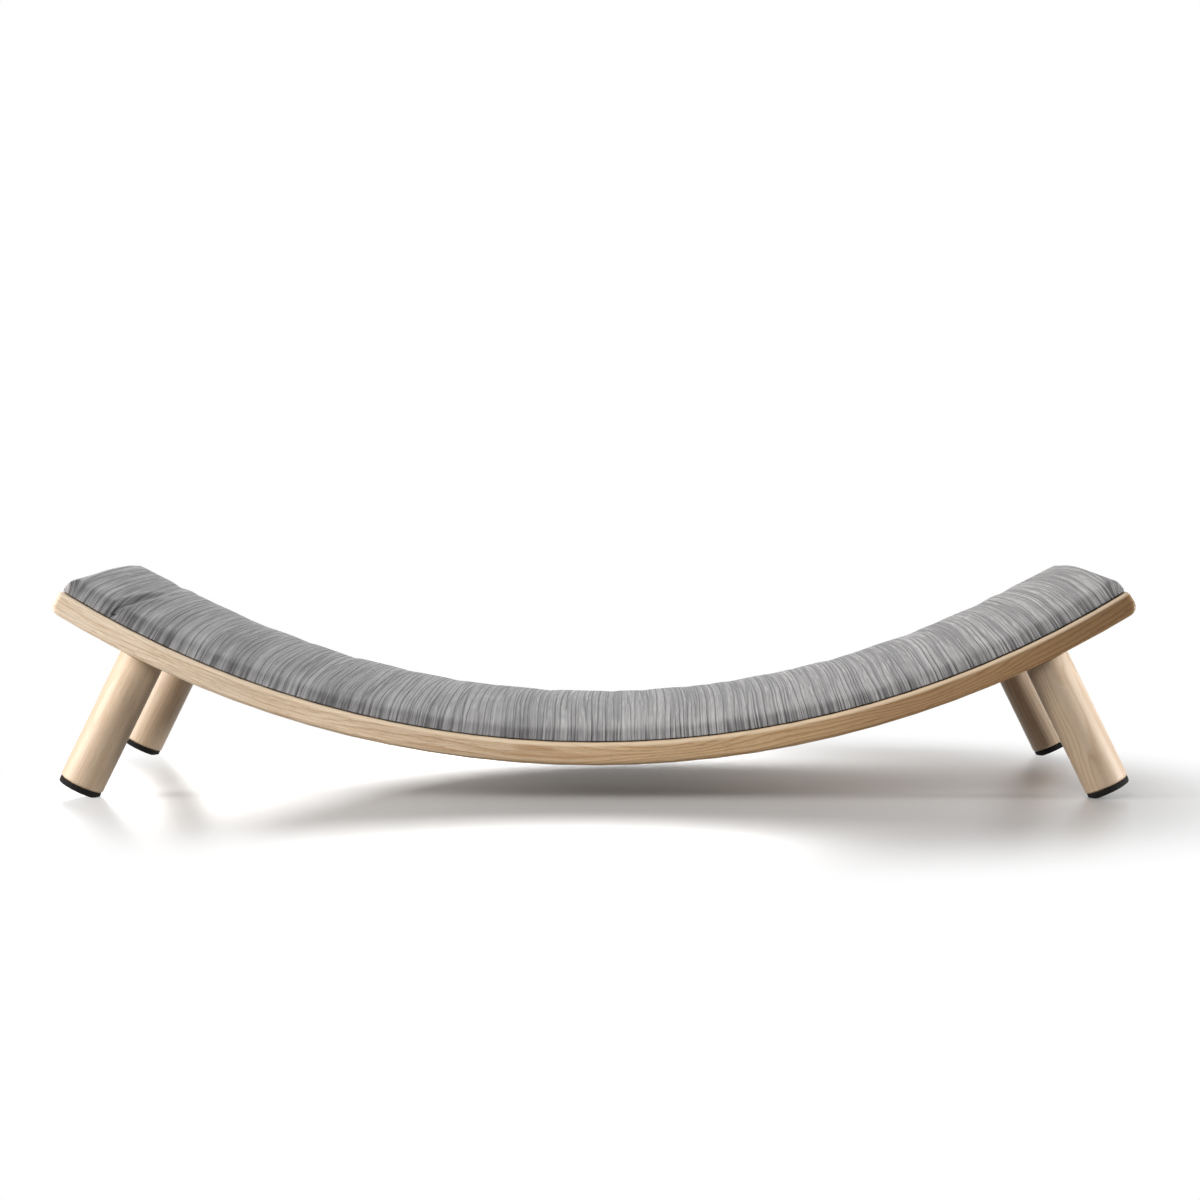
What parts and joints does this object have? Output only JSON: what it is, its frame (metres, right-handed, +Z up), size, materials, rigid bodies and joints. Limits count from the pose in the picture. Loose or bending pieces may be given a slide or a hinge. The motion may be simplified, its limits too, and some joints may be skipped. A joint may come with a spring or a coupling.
{
  "type": "cat bed",
  "caption": "Low cat bed: a curved bent-laminated wooden board on splayed round legs with rubber feet, with a removable striped pad that zips at its base.",
  "frame": {"origin": "on the floor, under the middle of the bed", "axes": "+X along the bed to the right as the picture shows it, the front faces -Y, +Z up"},
  "size_m": [0.7536, 0.36, 0.1536],
  "materials": {
    "oak_board": "satin",
    "oak_dowel": "satin",
    "zinc_plated_steel": "satin",
    "black_rubber": "matte",
    "striped_fabric": "matte",
    "base_fabric": "matte",
    "hook_tape": "matte",
    "loop_tape": "matte",
    "foam": "matte",
    "zip_tape": "matte"
  },
  "bodies": {
    "frame": {"foot_front_left": "black_rubber", "foot_front_right": "black_rubber", "foot_rear_left": "black_rubber", "foot_rear_right": "black_rubber", "foot_screw_front_left": "zinc_plated_steel", "foot_screw_front_right": "zinc_plated_steel", "foot_screw_rear_left": "zinc_plated_steel", "foot_screw_rear_right": "zinc_plated_steel", "hanger_bolt_front_left": "zinc_plated_steel", "hanger_bolt_front_right": "zinc_plated_steel", "hanger_bolt_rear_left": "zinc_plated_steel", "hanger_bolt_rear_right": "zinc_plated_steel", "hook_strip_left": "hook_tape", "hook_strip_right": "hook_tape", "leg_front_left": "oak_dowel", "leg_front_right": "oak_dowel", "leg_rear_left": "oak_dowel", "leg_rear_right": "oak_dowel", "seat_board": "oak_board", "t_nut_front_left": "zinc_plated_steel", "t_nut_front_right": "zinc_plated_steel", "t_nut_rear_left": "zinc_plated_steel", "t_nut_rear_right": "zinc_plated_steel"},
    "cushion": {"pad_cover": "striped_fabric", "pad_foam": "foam", "pad_base": "base_fabric", "loop_strip_left": "loop_tape", "loop_strip_right": "loop_tape", "zip_tape_front": "zip_tape", "zip_tape_rear": "zip_tape", "zip_stop_left": "zinc_plated_steel", "zip_stop_right": "zinc_plated_steel"},
    "zip_slider": {"zip_slider": "zinc_plated_steel"}
  },
  "joints": [
    {"name": "cushion_lift", "type": "slide", "parent": "frame", "child": "cushion", "axis": [0, 0, 1], "range_m": [0, 0.15]},
    {"name": "zip_run", "type": "hinge", "parent": "cushion", "child": "zip_slider", "pos_m": [0, 0.119, 0.74252], "axis": [0, 1, 0], "range_deg": [0, 43.5]}
  ]
}
